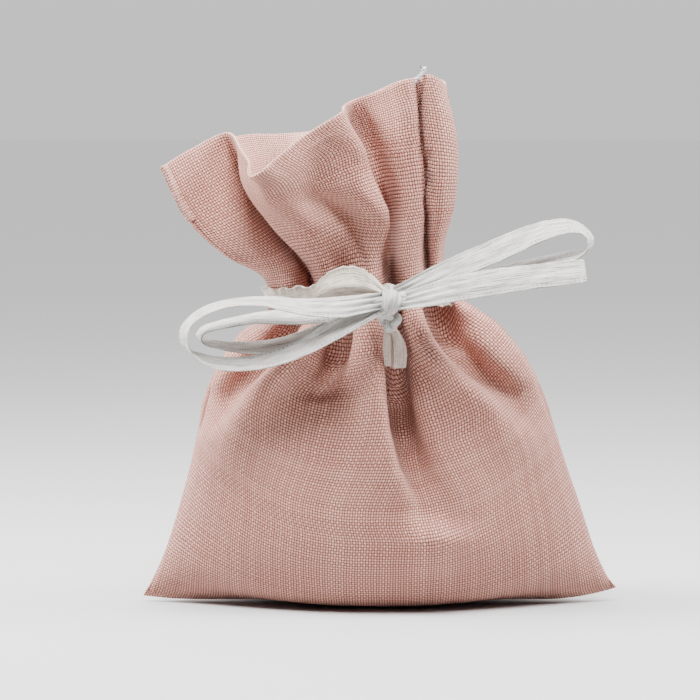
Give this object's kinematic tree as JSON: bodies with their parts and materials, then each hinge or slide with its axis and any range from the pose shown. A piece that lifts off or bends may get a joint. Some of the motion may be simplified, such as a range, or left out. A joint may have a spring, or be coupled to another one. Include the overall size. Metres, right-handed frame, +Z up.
{
  "type": "fabric gift sack",
  "caption": "Small filled-looking fabric gift sack, gathered at the neck by a ribbon tie with a bow, its frilled mouth open above.",
  "frame": {"origin": "centre of the flat base that the sack stands on", "axes": "+Z up, +X to the right seen from the front, +Y towards the back; the bow is at the front, towards -Y"},
  "size_m": [0.1103, 0.05, 0.1244],
  "materials": {
    "sack_cloth": "matt plain-woven cloth, dusty pink",
    "hem_cloth": "matt plain-woven cloth, dusty pink, turned in",
    "ribbon": "soft satin-like woven ribbon, ivory white",
    "thread": "twisted sewing thread, pale grey"
  },
  "bodies": {
    "sack": {"front_panel": "sack_cloth", "back_panel": "sack_cloth", "front_hem": "hem_cloth", "back_hem": "hem_cloth", "bottom_seam": "sack_cloth", "left_side_seam": "sack_cloth", "right_side_seam": "sack_cloth", "neck_band": "ribbon", "neck_band_lobe": "ribbon", "neck_knot": "ribbon", "bow_knot": "ribbon", "hem_thread_end": "thread"},
    "outer_left_loop": {"outer_left_loop": "ribbon"},
    "inner_left_loop": {"inner_left_loop": "ribbon"},
    "right_loop": {"right_loop": "ribbon"},
    "right_tail": {"right_tail": "ribbon"},
    "neck_tail_left": {"neck_tail_left": "ribbon"},
    "neck_tail_right": {"neck_tail_right": "ribbon"}
  },
  "joints": [
    {"name": "outer_left_loop_swing", "type": "hinge", "parent": "sack", "child": "outer_left_loop", "pos_m": [0.0018, -0.0174, 0.072], "axis": [0, 1, 0], "range_deg": [-12, 25]},
    {"name": "inner_left_loop_swing", "type": "hinge", "parent": "sack", "child": "inner_left_loop", "pos_m": [0.0018, -0.0174, 0.072], "axis": [0, 1, 0], "range_deg": [-12, 25]},
    {"name": "right_loop_swing", "type": "hinge", "parent": "sack", "child": "right_loop", "pos_m": [0.0018, -0.0174, 0.072], "axis": [0, -1, 0], "range_deg": [-15, 20]},
    {"name": "right_tail_swing", "type": "hinge", "parent": "sack", "child": "right_tail", "pos_m": [0.0018, -0.0174, 0.072], "axis": [0, -1, 0], "range_deg": [-20, 20]},
    {"name": "neck_tail_left_lift", "type": "hinge", "parent": "sack", "child": "neck_tail_left", "pos_m": [0.0003, -0.016, 0.0666], "axis": [-1, 0, 0], "range_deg": [0, 60]},
    {"name": "neck_tail_right_lift", "type": "hinge", "parent": "sack", "child": "neck_tail_right", "pos_m": [0.0033, -0.016, 0.0666], "axis": [-1, 0, 0], "range_deg": [0, 60]}
  ]
}
